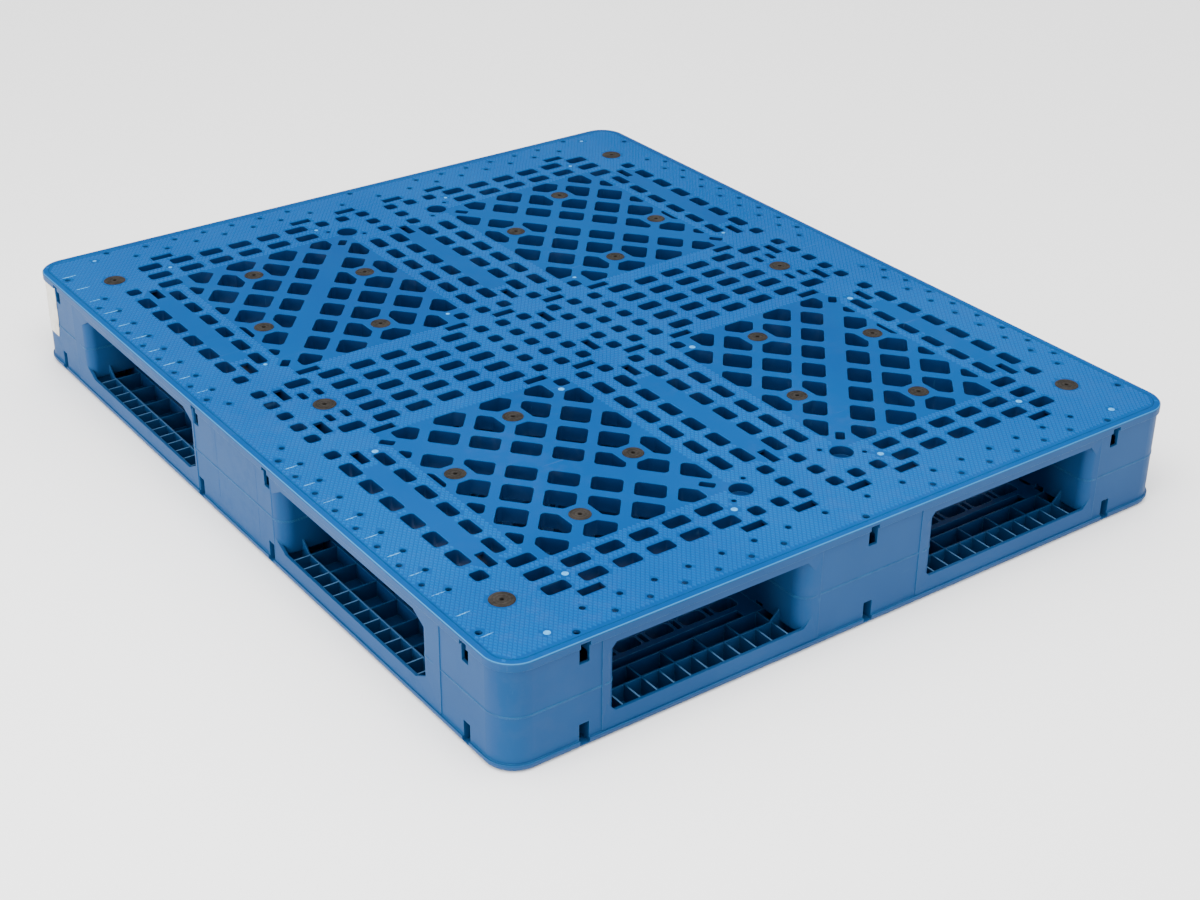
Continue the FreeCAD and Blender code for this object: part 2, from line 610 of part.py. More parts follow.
def mouth_gussets(z_wall, rise):
    """Three-cornered gussets at the ends of each opening in the skirt. rise is +1 in the base,
    where they stand up from the skirt, and -1 under the top beams."""
    solids = []

    def gusset(at, along, size, height, thickness, normal):
        a = V(at[0], at[1], z_wall)
        b = a + V(along[0], along[1], 0) * size
        c = a + V(0, 0, rise * height)
        low = a - V(along[0], along[1], 0) * GUSSET_ROOT
        high = low + V(0, 0, rise * height)
        wire = Part.makePolygon([low, b, c, high, low])
        solids.append(Part.Face(wire).extrude(V(normal[0], normal[1], 0) * thickness))

    wall_y, wall_x = HY - RIM_OUT, HX - RIM_OUT
    ends_x = ((MID_BLOCK_X / 2 - MOUTH_R, 1), (HX - CORNER_BLOCK_X + CORNER_MOUTH_R, -1))
    ends_y = ((MID_BLOCK_Y / 2 - MOUTH_R, 1), (HY - CORNER_BLOCK_Y + CORNER_MOUTH_R, -1))
    for sx, sy in QUADRANTS:
        for x, way in ends_x:
            gusset((sx * x, sy * wall_y), (sx * way, 0), GUSSET_X, GUSSET_X_H, WALL, (0, -sy))
        for y, way in ends_y:
            gusset((sx * wall_x, sy * y), (0, sy * way), GUSSET_Y, GUSSET_Y_H, WALL, (-sx, 0))
    return solids


def rib_gussets():
    """Small three-cornered gussets where the long ribs of the base beams meet the blocks."""
    solids = []
    size, bury = RIB_GUSSET, WALL / 2

    def gusset(x, y, ux, uy, nx, ny):
        low = V(x - ux * bury - nx * RIB_T / 2, y - uy * bury - ny * RIB_T / 2, RIB_TOP)
        tip = low + V(ux, uy, 0) * (size + bury)
        high = low + V(0, 0, size)
        wire = Part.makePolygon([low, tip, high + V(ux, uy, 0) * bury, high, low])
        solids.append(Part.Face(wire).extrude(V(nx, ny, 0) * RIB_T))

    for sx, sy in QUADRANTS:
        for x, way in ((MID_BLOCK_X / 2, 1), (HX - CORNER_BLOCK_X, -1)):
            gusset(sx * x, sy * (HY - BEAM_RIB_Y), sx * way, 0, 0, 1)
        for y, way in ((MID_BLOCK_Y / 2, 1), (HY - CORNER_BLOCK_Y, -1)):
            gusset(sx * (HX - BEAM_RIB_X), sy * y, 0, sy * way, 1, 0)
    return solids


# ---- channels ----
def channel_cuts(z0, z1, mouth_z0, mouth_z1, tab_z0, tab_z1):
    """Channels for the stiffening bars, with their mouths in the walls and without the tabs
    that bridge them under each window."""
    w = CHANNEL_W / 2
    runs, mouths = [], []
    for x in (CHANNELS_Y[0], CHANNELS_Y[1], -CHANNELS_Y[1]):
        runs.append(box(x - w, x + w, -HY - 1, HY + 1, z0, z1))
        mouths.append(box(x - w, x + w, -HY - 1, HY + 1, mouth_z0, mouth_z1))
    for y in (CHANNELS_X[0], CHANNELS_X[1], -CHANNELS_X[0], -CHANNELS_X[1]):
        runs.append(box(-HX - 1, HX + 1, y - w, y + w, z0, z1))
        mouths.append(box(-HX - 1, HX + 1, y - w, y + w, mouth_z0, mouth_z1))
    tabs = []
    for loop, along in channel_windows():
        x, y = middle_of(loop)
        size = (WINDOW_L - TAB_SHORT, CHANNEL_W + 2)
        width, height = size if along == "x" else size[::-1]
        for sx, sy in QUADRANTS:
            tabs.append(prism(box_loop(x * sx, y * sy, width, height), tab_z0, tab_z1))
    whole = runs[0].multiFuse(runs[1:] + mouths)
    return whole.cut(Part.Compound(tabs))


# ---- the pieces ----
def grommet_places():
    """Centres and head radii of the grommets."""
    quarter = [(HX - CORNER_GROMMET_X, HY - CORNER_GROMMET_Y, GROMMET_R)]
    quarter += [(x, y, GROMMET_SMALL_R) for x, y in LAT_GROMMETS]
    places = [(x * sx, y * sy, r) for x, y, r in quarter for sx, sy in QUADRANTS]
    side = HX - SIDE_GROMMET_EDGE
    return places + [(side, 0.0, GROMMET_R), (-side, 0.0, GROMMET_R)]


def top_sockets():
    """Stepped holes of the top shell: grommet seats and the round locating holes."""
    sockets = []
    for x, y, r in grommet_places():
        steps = [(CEILING, GROMMET_BARB_R + GROMMET_GAP), (BARB_TOP, GROMMET_STEM_R + GROMMET_GAP),
                 (HEIGHT - GROMMET_HEAD_T, r + GROMMET_GAP), (HEIGHT, r + GROMMET_GAP)]
        sockets.append((x, y, steps))
    y = HY - LOCATOR_EDGE_Y
    steps = [(CEILING, LOCATOR_BORE_R), (HEIGHT - LOCATOR_DEPTH, LOCATOR_R), (HEIGHT, LOCATOR_R)]
    return sockets + [(LOCATOR_X * sx, y * sy, steps) for sx, sy in QUADRANTS]


def pin_holes():
    y = HY - LOCATOR_EDGE_Y
    return [round_loop(LOCATOR_X + dx, y + dy, PIN_HOLE_R) for dx, dy in PIN_HOLES]


def top_shell():
    holes = in_all_quadrants(slot_holes() + lattice_cells() + band_windows())
    drains = in_all_quadrants(drain_holes(0.0) + pin_holes())
    cells = in_all_quadrants(beam_cells(False) + bar_cells() + lattice_rib_cells())
    groove_z, groove_0, groove_1 = HEIGHT - GROOVE_D, GROOVE_IN - GROOVE_W / 2, GROOVE_IN + GROOVE_W / 2
    levels = [(CEILING, RIM_OUT), (HEIGHT - RIM_H, RIM_OUT), (HEIGHT - RIM_H, 0.0),
              (HEIGHT - TOP_BEVEL, 0.0), (HEIGHT, TOP_BEVEL), (HEIGHT, groove_0),
              (groove_z, groove_0), (groove_z, groove_1), (HEIGHT, groove_1)]
    deck = ribbed_plate(levels, holes, drains, top_sockets(), cells, True)
    added = block_walls(SEAM, CEILING, SEAM) + mouth_gussets(CEILING, -1)
    under = HEIGHT - DECK_T
    mouth_z0 = under - MOUTH_DEPTH
    channels = channel_cuts(CEILING - 1, under, mouth_z0, under, CEILING - 1, CEILING + TAB_T)
    return finished(deck, added, channels, under, HEIGHT)


def base_shell():
    holes = in_all_quadrants(slot_holes() + lattice_cells() + band_windows())
    drains = in_all_quadrants(drain_holes(0.25))
    cells = in_all_quadrants(beam_cells(True) + bar_cells() + lattice_rib_cells())
    levels = [(0.0, BASE_BEVEL), (0.3 * BASE_BEVEL, 0.3 * BASE_BEVEL), (BASE_BEVEL, 0.0),
              (RIM_H, 0.0), (RIM_H, RIM_OUT), (RIB_TOP, RIM_OUT)]
    base = ribbed_plate(levels, holes, drains, [], cells, False)
    skirt = prism(outline(RIM_OUT), RIB_TOP, BEAM_BASE, [outline(RIM_OUT + WALL)])
    added = block_walls(RIB_TOP, SEAM, SEAM - BEAD_H) + mouth_gussets(BEAM_BASE, 1)
    added += rib_gussets() + [skirt]
    mouth_z1 = DECK_T + MOUTH_DEPTH
    channels = channel_cuts(DECK_T, RIB_TOP + 1, DECK_T, mouth_z1, RIB_TOP - TAB_T, RIB_TOP + 1)
    return finished(base, added, channels, 0.0, DECK_T)


def finished(plate, added, channels, window_z0, window_z1):
    """Shell from its ribbed plate: walls added, channels cut, windows and spot holes over them."""
    whole = plate.fuse(added[0].multiFuse(added[1:]))
    loops = in_all_quadrants([loop for loop, along in channel_windows()] + spot_holes())
    windows = [prism(loop, window_z0 - 1, window_z1 + 1) for loop in loops]
    return whole.cut(Part.Compound([channels] + windows))


def grommet(x, y, radius):
    """Rubber plug with a flat head, a stem and a barb, bored through."""
    head_z, barb_z0 = HEIGHT - GROMMET_HEAD_T, CEILING + GROMMET_SET
    edge = GROMMET_PROUD
    profile = [(GROMMET_BORE_R, barb_z0), (GROMMET_STEM_R, barb_z0),
               (GROMMET_BARB_R, BARB_TOP - GROMMET_BARB_LIP), (GROMMET_BARB_R, BARB_TOP),
               (GROMMET_STEM_R, BARB_TOP), (GROMMET_STEM_R, head_z),
               (radius, head_z), (radius, HEIGHT), (radius - edge, HEIGHT + edge),
               (GROMMET_BORE_R + edge, HEIGHT + edge), (GROMMET_BORE_R, HEIGHT)]
    points = [V(x + r, y, z) for r, z in profile]
    section = Part.Face(Part.makePolygon(points + points[:1]))
    return section.revolve(V(x, y, 0), V(0, 0, 1), 360)


def corner_label():
    """Blank sticker round one corner, stretched over the weld bead."""
    reach = CORNER_R + LABEL_SIDE
    corner = box(-HX, -HX + reach, HY - reach, HY, 0, HEIGHT)

    def strip(depth, z0, z1):
        return prism(outline(RIM_OUT - depth), z0, z1, [outline(RIM_OUT)])

    bead = strip(BEAD_OUT, SEAM - BEAD_H, SEAM + BEAD_H)
    over = strip(BEAD_OUT + LABEL_T, SEAM - BEAD_H - LABEL_T, SEAM + BEAD_H + LABEL_T)
    sheet = strip(LABEL_T, LABEL_Z0, LABEL_Z1).fuse(over).cut(bead)
    return sheet.common(corner)


PIECES = {"top_shell": top_shell, "base_shell": base_shell, "corner_label": corner_label}

if __name__ == "__main__":
    os.makedirs("parts", exist_ok=True)
    for name, make in PIECES.items():
        make().exportStep("parts/" + name + ".step")
    for number, (x, y, radius) in enumerate(grommet_places(), 1):
        grommet(x, y, radius).exportStep("parts/grommet_%02d.step" % number)
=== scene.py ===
import math
import random
import bmesh
import bpy
from mathutils import Matrix, Vector
from mathutils.bvhtree import BVHTree


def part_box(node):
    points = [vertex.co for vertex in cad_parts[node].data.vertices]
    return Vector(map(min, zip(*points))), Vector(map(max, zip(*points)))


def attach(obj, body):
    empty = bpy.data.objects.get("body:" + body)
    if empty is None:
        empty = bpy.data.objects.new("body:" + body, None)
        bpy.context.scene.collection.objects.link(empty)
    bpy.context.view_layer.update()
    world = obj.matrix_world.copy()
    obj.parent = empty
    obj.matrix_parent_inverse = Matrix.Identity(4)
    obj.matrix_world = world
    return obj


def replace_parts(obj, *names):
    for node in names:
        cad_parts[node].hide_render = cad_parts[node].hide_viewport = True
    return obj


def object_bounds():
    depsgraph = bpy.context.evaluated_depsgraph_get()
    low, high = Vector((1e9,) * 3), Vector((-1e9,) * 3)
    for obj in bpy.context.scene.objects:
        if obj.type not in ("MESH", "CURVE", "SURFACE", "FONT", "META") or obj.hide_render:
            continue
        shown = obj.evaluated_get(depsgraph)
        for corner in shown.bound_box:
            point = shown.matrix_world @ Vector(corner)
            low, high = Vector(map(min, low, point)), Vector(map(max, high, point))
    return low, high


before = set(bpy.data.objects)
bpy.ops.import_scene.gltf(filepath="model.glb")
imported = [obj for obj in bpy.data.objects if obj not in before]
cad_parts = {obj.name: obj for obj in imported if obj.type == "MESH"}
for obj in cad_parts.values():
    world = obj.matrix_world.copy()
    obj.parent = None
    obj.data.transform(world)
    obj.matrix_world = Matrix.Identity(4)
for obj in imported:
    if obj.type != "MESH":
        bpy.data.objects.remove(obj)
cad_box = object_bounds()


# ---- Blue moulding plastic, shared by both shells ----
# Pigmented polyethylene, moulded with a fine spark-eroded grain. The colour drifts a little where
# the melt flowed, edges are painted paler, partly as rubbing wear and partly as painted highlight,
# and handling leaves short scratches and grey dust.
def shader_group(name, inputs, outputs):
    """An empty shader node group; gives the group, its input node and its output node."""
    group = bpy.data.node_groups.new(name, "ShaderNodeTree")
    for direction, sockets in (("INPUT", inputs), ("OUTPUT", outputs)):
        for socket, kind in sockets.items():
            group.interface.new_socket(socket, in_out=direction, socket_type="NodeSocket" + kind)
    return group, group.nodes.new("NodeGroupInput"), group.nodes.new("NodeGroupOutput")


def group_node(tree, group):
    node = tree.nodes.new("ShaderNodeGroup")
    node.node_tree = group
    return node


def new_material(name):
    material = bpy.data.materials.new(name)
    material.use_nodes = True
    return material, material.node_tree


def set_socket(tree, socket, value):
    """Puts a number or a colour on an input, or links an output to it."""
    if isinstance(value, bpy.types.NodeSocket):
        tree.links.new(value, socket)
    else:
        socket.default_value = value


def math_node(tree, kind, *values):
    """A math node whose inputs are numbers or sockets; gives its output."""
    node = tree.nodes.new("ShaderNodeMath")
    node.operation = kind
    for socket, value in zip(node.inputs, values):
        set_socket(tree, socket, value)
    return node.outputs[0]


def object_place(tree):
    return tree.nodes.new("ShaderNodeTexCoord").outputs["Object"]


def noise_node(tree, place, scale, detail=4.0, roughness=0.55):
    node = tree.nodes.new("ShaderNodeTexNoise")
    node.inputs["Scale"].default_value = scale
    node.inputs["Detail"].default_value = detail
    node.inputs["Roughness"].default_value = roughness
    tree.links.new(place, node.inputs["Vector"])
    return node.outputs["Fac"]


def ramp_node(tree, value, low, high, to_low=0.0, to_high=1.0):
    """Smooth step of a value from low..high to to_low..to_high."""
    node = tree.nodes.new("ShaderNodeMapRange")
    node.interpolation_type = "SMOOTHSTEP"
    ends = {"From Min": low, "From Max": high, "To Min": to_low, "To Max": to_high}
    for socket, number in ends.items():
        node.inputs[socket].default_value = number
    tree.links.new(value, node.inputs["Value"])
    return node.outputs["Result"]


def mix_colours(tree, factor, a, b):
    node = tree.nodes.new("ShaderNodeMix")
    node.data_type = "RGBA"
    for socket, value in (("Factor", factor), ("A", a), ("B", b)):
        set_socket(tree, node.inputs[socket], value)
    return node.outputs["Result"]


def scaled_place(tree, place, scale, turn):
    """Coordinates stretched and turned about Z."""
    node = tree.nodes.new("ShaderNodeMapping")
    node.inputs["Scale"].default_value = scale
    node.inputs["Rotation"].default_value = (0.0, 0.0, turn)
    tree.links.new(place, node.inputs["Vector"])
    return node.outputs["Vector"]


def bump_node(tree, height, distance):
    node = tree.nodes.new("ShaderNodeBump")
    node.inputs["Distance"].default_value = distance
    tree.links.new(height, node.inputs["Height"])
    return node


EDGE_ROUND, BEVEL_SAMPLES = 0.0011, 4
FLOW_SHAPE, FLOW_TURN, FLOW_SCALE, FLOW_RAMP = (2.0, 1.1, 2.0), 0.5, 2.2, (0.32, 0.68)
SCRATCH_LONG, SCRATCH_ACROSS, SCRATCH_UP, SCRATCH_RAMP = 9.0, 420.0, 40.0, (0.70, 0.76)
SCRATCH_PATCH_SCALE, SCRATCH_PATCH_RAMP = 9.0, (0.50, 0.66)
SCRATCH_FAMILIES = ((0.35, 1.0), (1.25, 1.4), (-0.6, 0.8))      # turn and stretch
DUST_SCALE, DUST_RAMP = 55.0, (0.42, 0.70)
DUST_PATCH_SCALE, DUST_PATCH_RAMP = 6.0, (0.38, 0.66)
RUBBED_AND_HIGHLIT_RAMP, EDGE_PATCH_SCALE, EDGE_PATCH_RAMP = (0.985, 0.80), 70.0, (0.30, 0.62, 0.35, 1.0)
GRAIN_SCALE, GRAIN_HIGH, GRAIN_SHARE = 900.0, 0.00012, 0.5
RUBBED_AND_HIGHLIT_SHARE, RUBBED_AND_HIGHLIT_BLUE = 0.40, (0.045, 0.21, 0.40, 1.0)
SCRATCH_SHARE, SCRATCH_BLUE = 0.12, (0.09, 0.22, 0.36, 1.0)
DUST_SHARE, DUST_GREY, DUST_DULLS = 0.035, (0.16, 0.18, 0.20, 1.0), 0.14


def make_moulding_group():
    """Worn moulded plastic whose edges are painted paler, partly as rubbing wear and partly as
    highlight: takes two blues and a roughness, gives colour, roughness and normal.
    """
    group, given, out = shader_group(
        "worn_moulding_with_highlights", {"Deep": "Color", "Pale": "Color", "Roughness": "Float"},
        {"Colour": "Color", "Roughness": "Float", "Normal": "Vector"})
    place = object_place(group)
    flow = noise_node(group, scaled_place(group, place, FLOW_SHAPE, FLOW_TURN), FLOW_SCALE, 3.0)
    colour = mix_colours(group, ramp_node(group, flow, *FLOW_RAMP), given.outputs["Deep"],
                         given.outputs["Pale"])
    scratches = 0.0
    for turn, stretch in SCRATCH_FAMILIES:
        shape = (SCRATCH_LONG * stretch, SCRATCH_ACROSS, SCRATCH_UP)
        thin = noise_node(group, scaled_place(group, place, shape, turn), 1.0, 2.0)
        where = noise_node(group, place, SCRATCH_PATCH_SCALE * stretch, 2.0)
        family = math_node(group, "MULTIPLY", ramp_node(group, thin, *SCRATCH_RAMP),
                           ramp_node(group, where, *SCRATCH_PATCH_RAMP))
        scratches = math_node(group, "MAXIMUM", scratches, family)
    specks = noise_node(group, place, DUST_SCALE, 6.0, 0.65)
    patches = noise_node(group, place, DUST_PATCH_SCALE, 3.0)
    dust = math_node(group, "MULTIPLY", ramp_node(group, specks, *DUST_RAMP),
                     ramp_node(group, patches, *DUST_PATCH_RAMP))
    bevel = group.nodes.new("ShaderNodeBevel")
    bevel.samples = BEVEL_SAMPLES
    bevel.inputs["Radius"].default_value = EDGE_ROUND
    dot = group.nodes.new("ShaderNodeVectorMath")
    dot.operation = "DOT_PRODUCT"
    group.links.new(bevel.outputs["Normal"], dot.inputs[0])
    group.links.new(group.nodes.new("ShaderNodeNewGeometry").outputs["Normal"], dot.inputs[1])
    # Edges, where the rounded shading normal leaves the true one, are painted paler in patches:
    # partly rubbing wear, partly painted highlight.
    rubbed_and_highlit = math_node(group, "MULTIPLY", ramp_node(group, dot.outputs["Value"], *RUBBED_AND_HIGHLIT_RAMP),
                       ramp_node(group, noise_node(group, place, EDGE_PATCH_SCALE, 3.0), *EDGE_PATCH_RAMP))
    layers = ((rubbed_and_highlit, RUBBED_AND_HIGHLIT_SHARE, RUBBED_AND_HIGHLIT_BLUE), (scratches, SCRATCH_SHARE, SCRATCH_BLUE),
              (dust, DUST_SHARE, DUST_GREY))
    for mask, share, over in layers:
        colour = mix_colours(group, math_node(group, "MULTIPLY", mask, share), colour, over)
    grain = bump_node(group, noise_node(group, place, GRAIN_SCALE, 2.0, 0.5), GRAIN_HIGH)
    grain.inputs["Strength"].default_value = GRAIN_SHARE
    group.links.new(bevel.outputs["Normal"], grain.inputs["Normal"])
    dulled = math_node(group, "MULTIPLY_ADD", dust, DUST_DULLS, given.outputs["Roughness"])
    group.links.new(colour, out.inputs["Colour"])
    group.links.new(dulled, out.inputs["Roughness"])
    group.links.new(grain.outputs["Normal"], out.inputs["Normal"])
    return group


HALF_X, HALF_Y = cad_box[1][0], cad_box[1][1]
CORNER_R = 0.038
# How far in from the outline the painted shade of the pallet's inside sets in.
INSIDE_SHADE_RAMP = (0.030, 0.080)


def make_outline_group():
    """Distance inwards from the pallet's rounded outline, height, and a mask of the inside for
    painted shade.
    """
    group, _, out = shader_group("outline_masks", {},
                                 {"Inward": "Float", "Height": "Float", "Inside": "Float"})
    split = group.nodes.new("ShaderNodeSeparateXYZ")
    group.links.new(object_place(group), split.inputs[0])
    past = []
    for axis, half in (("X", HALF_X), ("Y", HALF_Y)):
        reach = math_node(group, "ABSOLUTE", split.outputs[axis])
        past.append(math_node(group, "SUBTRACT", reach, half - CORNER_R))
    squares = [math_node(group, "POWER", math_node(group, "MAXIMUM", p, 0.0), 2.0) for p in past]
    round_part = math_node(group, "SQRT", math_node(group, "ADD", *squares))
    flat_part = math_node(group, "MINIMUM", math_node(group, "MAXIMUM", *past), 0.0)
    inward = math_node(group, "SUBTRACT", CORNER_R, math_node(group, "ADD", round_part, flat_part))
    group.links.new(inward, out.inputs["Inward"])
    group.links.new(split.outputs["Z"], out.inputs["Height"])
    group.links.new(ramp_node(group, inward, *INSIDE_SHADE_RAMP), out.inputs["Inside"])
    return group


worn_moulding_with_highlights = make_moulding_group()
outline_masks = make_outline_group()
# Darker blues for surfaces well in from the outline: painted shade for the dim inside of the pallet.
INNER_SHADE_DEEP, INNER_SHADE_PALE = (0.0005, 0.014, 0.060, 1.0), (0.0010, 0.018, 0.072, 1.0)
WALL_DEEP, WALL_PALE = (0.0025, 0.037, 0.120, 1.0), (0.006, 0.047, 0.143, 1.0)
WALL_SHINE = 0.11
BLUE_IOR = 1.5


def make_blue(tree, deep, pale, roughness, shine):
    """Fills a material's tree as blue plastic with wear and painted edge highlights; its blues are
    colours or sockets.
    """
    skin = tree.nodes["Principled BSDF"]
    worn_and_highlit = group_node(tree, worn_moulding_with_highlights)
    for socket, value in (("Deep", deep), ("Pale", pale), ("Roughness", roughness)):
        set_socket(tree, worn_and_highlit.inputs[socket], value)
    for output, socket in zip(worn_and_highlit.outputs, ("Base Color", "Roughness", "Normal")):
        tree.links.new(output, skin.inputs[socket])
    skin.inputs["IOR"].default_value = BLUE_IOR
    set_socket(tree, skin.inputs["Specular IOR Level"], shine)


def paint_over(tree, mask, colour):
    """Lays a colour over a material's present colour where a mask says."""
    base = tree.nodes["Principled BSDF"].inputs["Base Color"]
    tree.links.new(mix_colours(tree, mask, base.links[0].from_socket, colour), base)


def give(node, material):
    """One material for a whole CAD node."""
    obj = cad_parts[node]
    obj.data.materials.clear()
    obj.data.materials.append(material)


# ---- Top shell ----
# The deck and the upper half of the nine blocks, one polyethylene moulding. The CAD solid keeps its
# shape. The shallow groove round the deck is painted darker, its top edge carries a painted
# highlight, and its inner surfaces are painted darker as shade.
deck_low, deck_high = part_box("top_shell")
DECK_Z = deck_high[2]
DECK_DEEP, DECK_PALE = (0.0, 0.039, 0.160, 1.0), (0.0, 0.047, 0.180, 1.0)
DECK_ROUGH, DECK_SHINE = 0.46, 0.012
EDGE_DEPTH, EDGE_HIGHLIGHT_RAMP, EDGE_HIGHLIGHT_BLUE = 0.0009, (0.0018, 0.0012, 0.0, 0.6), (0.035, 0.21, 0.42, 1.0)
GROOVE_IN, GROOVE_RAMP = 0.009, (0.0011, 0.0003)
GROOVE_DARK_SHARE, GROOVE_DARK_BLUE = 0.6, (0.0, 0.035, 0.13, 1.0)

deck_blue, deck_tree = new_material("deck_blue_polyethylene")
deck_masks = group_node(deck_tree, outline_masks).outputs
on_top = math_node(deck_tree, "GREATER_THAN", deck_masks["Height"], DECK_Z - EDGE_DEPTH)
deck_deep, deck_pale = [
    mix_colours(deck_tree, on_top, mix_colours(deck_tree, deck_masks["Inside"], wall, inner_shade), flat)
    for wall, inner_shade, flat in ((WALL_DEEP, INNER_SHADE_DEEP, DECK_DEEP), (WALL_PALE, INNER_SHADE_PALE, DECK_PALE))]
deck_shine = ramp_node(deck_tree, on_top, 0.0, 1.0, WALL_SHINE, DECK_SHINE)
make_blue(deck_tree, deck_deep, deck_pale, DECK_ROUGH, deck_shine)
# The shallow groove round the deck is painted a darker blue.
off_groove = math_node(deck_tree, "ABSOLUTE",
                       math_node(deck_tree, "SUBTRACT", deck_masks["Inward"], GROOVE_IN))
in_groove = math_node(deck_tree, "MULTIPLY", ramp_node(deck_tree, off_groove, *GROOVE_RAMP), on_top)
paint_over(deck_tree, math_node(deck_tree, "MULTIPLY", in_groove, GROOVE_DARK_SHARE), GROOVE_DARK_BLUE)
# Painted highlight: a pale line along the deck's top edge.
painted_edge_highlight = math_node(deck_tree, "MULTIPLY", ramp_node(deck_tree, deck_masks["Inward"], *EDGE_HIGHLIGHT_RAMP),
                    on_top)
paint_over(deck_tree, painted_edge_highlight, EDGE_HIGHLIGHT_BLUE)
give("top_shell", deck_blue)


# ---- Gate marks and rib marks ----
# Pale low discs where the hot runner's gates were trimmed, and thin low ridges over the ribs of one
# long margin of the deck, painted pale as a highlight along them.
def new_piece(name, material, bm, smooth=False):
    """A mesh piece on the pallet from a bmesh."""
    mesh = bpy.data.meshes.new(name)
    bm.to_mesh(mesh)
    bm.free()
    for polygon in mesh.polygons:
        polygon.use_smooth = smooth
    obj = bpy.data.objects.new(name, mesh)
    bpy.context.scene.collection.objects.link(obj)
    mesh.materials.append(material)
    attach(obj, "root")
    return obj


def circle(bm, x, y, radius, z, sides):
    """A level ring of vertices."""
    return [bm.verts.new((x + radius * math.cos(a), y + radius * math.sin(a), z))
            for a in [math.tau * k / sides for k in range(sides)]]


def bridge(bm, rows, closed=False):
    """Faces between each two neighbouring rows of vertices; closed rows run round a ring."""
    for first, second in zip(rows, rows[1:]):
        for k in range(len(first) if closed else len(first) - 1):
            after = (k + 1) % len(first)
            bm.faces.new((first[k], first[after], second[after], second[k]))


PALE_MARK_SCALE, PALE_MARK_RAMP = 260.0, (0.35, 0.65)
PALE_MARK_ROUGH, PALE_MARK_SHINE = 0.5, 0.1
pale_mark_mottle, _, pale_mark_out = shader_group("pale_mark_mottle", {}, {"Mottle": "Float"})
pale_mark_noise = noise_node(pale_mark_mottle, object_place(pale_mark_mottle), PALE_MARK_SCALE)
pale_mark_mottle.links.new(ramp_node(pale_mark_mottle, pale_mark_noise, *PALE_MARK_RAMP),
                        pale_mark_out.inputs["Mottle"])


def pale_mark_material(name, low, high):
    """Pale plastic mottled between two colours: whitened by stress on the gate marks, a painted
    highlight on the rib marks.
    """
    material, tree = new_material(name)
    skin = tree.nodes["Principled BSDF"]
    mottle = group_node(tree, pale_mark_mottle).outputs["Mottle"]
    tree.links.new(mix_colours(tree, mottle, low, high), skin.inputs["Base Color"])
    skin.inputs["Roughness"].default_value = PALE_MARK_ROUGH
    skin.inputs["Specular IOR Level"].default_value = PALE_MARK_SHINE
    return material


gate_white = pale_mark_material("gate_whitened_plastic", (0.01, 0.20, 0.50, 1.0), (0.03, 0.30, 0.64, 1.0))
# Painted highlight: the rib marks' pale blues stand in for light caught along the ridges.
rib_highlight = pale_mark_material("rib_mark_highlight", (0.02, 0.19, 0.45, 1.0), (0.06, 0.30, 0.56, 1.0))

GATE_R, GATE_SMALL_R, GATE_SIDES = 0.0041, 0.0027, 24
GATE_SECTION = ((1.0, 0.00002), (0.7, 0.0002), (0.3, 0.00026))  # share of the radius, height
GATE_PLACES = ((0.430, 0.576), (0.350, 0.494), (0.1135, 0.494), (0.382, 0.141), (0.106, 0.136))
discs = bmesh.new()
gate_marks = []
for gx, gy in [(sx * x, sy * y) for x, y in GATE_PLACES for sx in (1, -1) for sy in (1, -1)]:
    radius = GATE_R if gy < 0 else GATE_SMALL_R
    gate_marks.append((gx, gy, radius))
    rings = [circle(discs, gx, gy, radius * share, DECK_Z + z, GATE_SIDES)
             for share, z in GATE_SECTION]
    bridge(discs, rings, closed=True)
    discs.faces.new(rings[-1])
new_piece("gate_marks", gate_white, discs, smooth=True)

MARK_STEP, MARK_LONG, MARK_WIDE, MARK_HIGH = 0.0473, 0.022, 0.0015, 0.00065
MARK_X, MARK_SPAN, MARK_ROWS, MARK_PARTS = -0.4925, (0.1, 0.57), 12, 8
MARK_SHORTEST, MARK_WANDER, MARK_FOOT, SAME_PLACE = 0.7, 0.0002, 0.00003, 1e-7
ridges = bmesh.new()
rng = random.Random(4)
for k in range(-MARK_ROWS, MARK_ROWS + 1):
    y = MARK_STEP * (k + (0.5 if k >= 0 else -0.5))
    if abs(y) < MARK_SPAN[0] or abs(y) > MARK_SPAN[1]:
        continue
    length = MARK_LONG * rng.uniform(MARK_SHORTEST, 1.0)
    points = [(MARK_X + length * t, y + rng.uniform(-MARK_WANDER, MARK_WANDER),
               MARK_WIDE * (1 - abs(2 * t - 1) ** 3))
              for t in [n / MARK_PARTS for n in range(MARK_PARTS + 1)]]
    section = ((-1, MARK_FOOT), (0, MARK_HIGH), (1, MARK_FOOT))
    bridge(ridges, [[ridges.verts.new((px, py + side * wide / 2, DECK_Z + z))
                     for px, py, wide in points] for side, z in section])
bmesh.ops.remove_doubles(ridges, verts=ridges.verts, dist=SAME_PLACE)
new_piece("rib_marks", rib_highlight, ridges)


# ---- Deck tread ----
# Anti-slip grain moulded on the deck's margins and between its slots: low rhombs in a staggered
# lattice, each a few tenths of a millimetre high. The lattice fields and the strips over the
# channels are smooth. A rhomb stands wherever the plate under it is whole.
TREAD_X, TREAD_Y = 0.0063, 0.0084
RHOMB_GAP, RHOMB_TOP, RHOMB_HIGH, RHOMB_FOOT = 0.0007, 0.35, 0.00045, 0.00001
REACH_X, REACH_Y = TREAD_X / 2 - RHOMB_GAP, TREAD_Y / 2 - RHOMB_GAP
TREAD_MARGIN = 0.0105
LATTICE_X, LATTICE_Y = (0.084, 0.360), (0.109, 0.4555)
STRIP_Y = (0.170, 0.430)
STRIPS_X = ((0.0, 0.016), (0.389, 0.420))
RAY_START, FLAT_WITHIN = 0.01, 0.0002
TREAD_DEEP, TREAD_PALE = (0.0, 0.058, 0.216, 1.0), (0.0, 0.069, 0.243, 1.0)

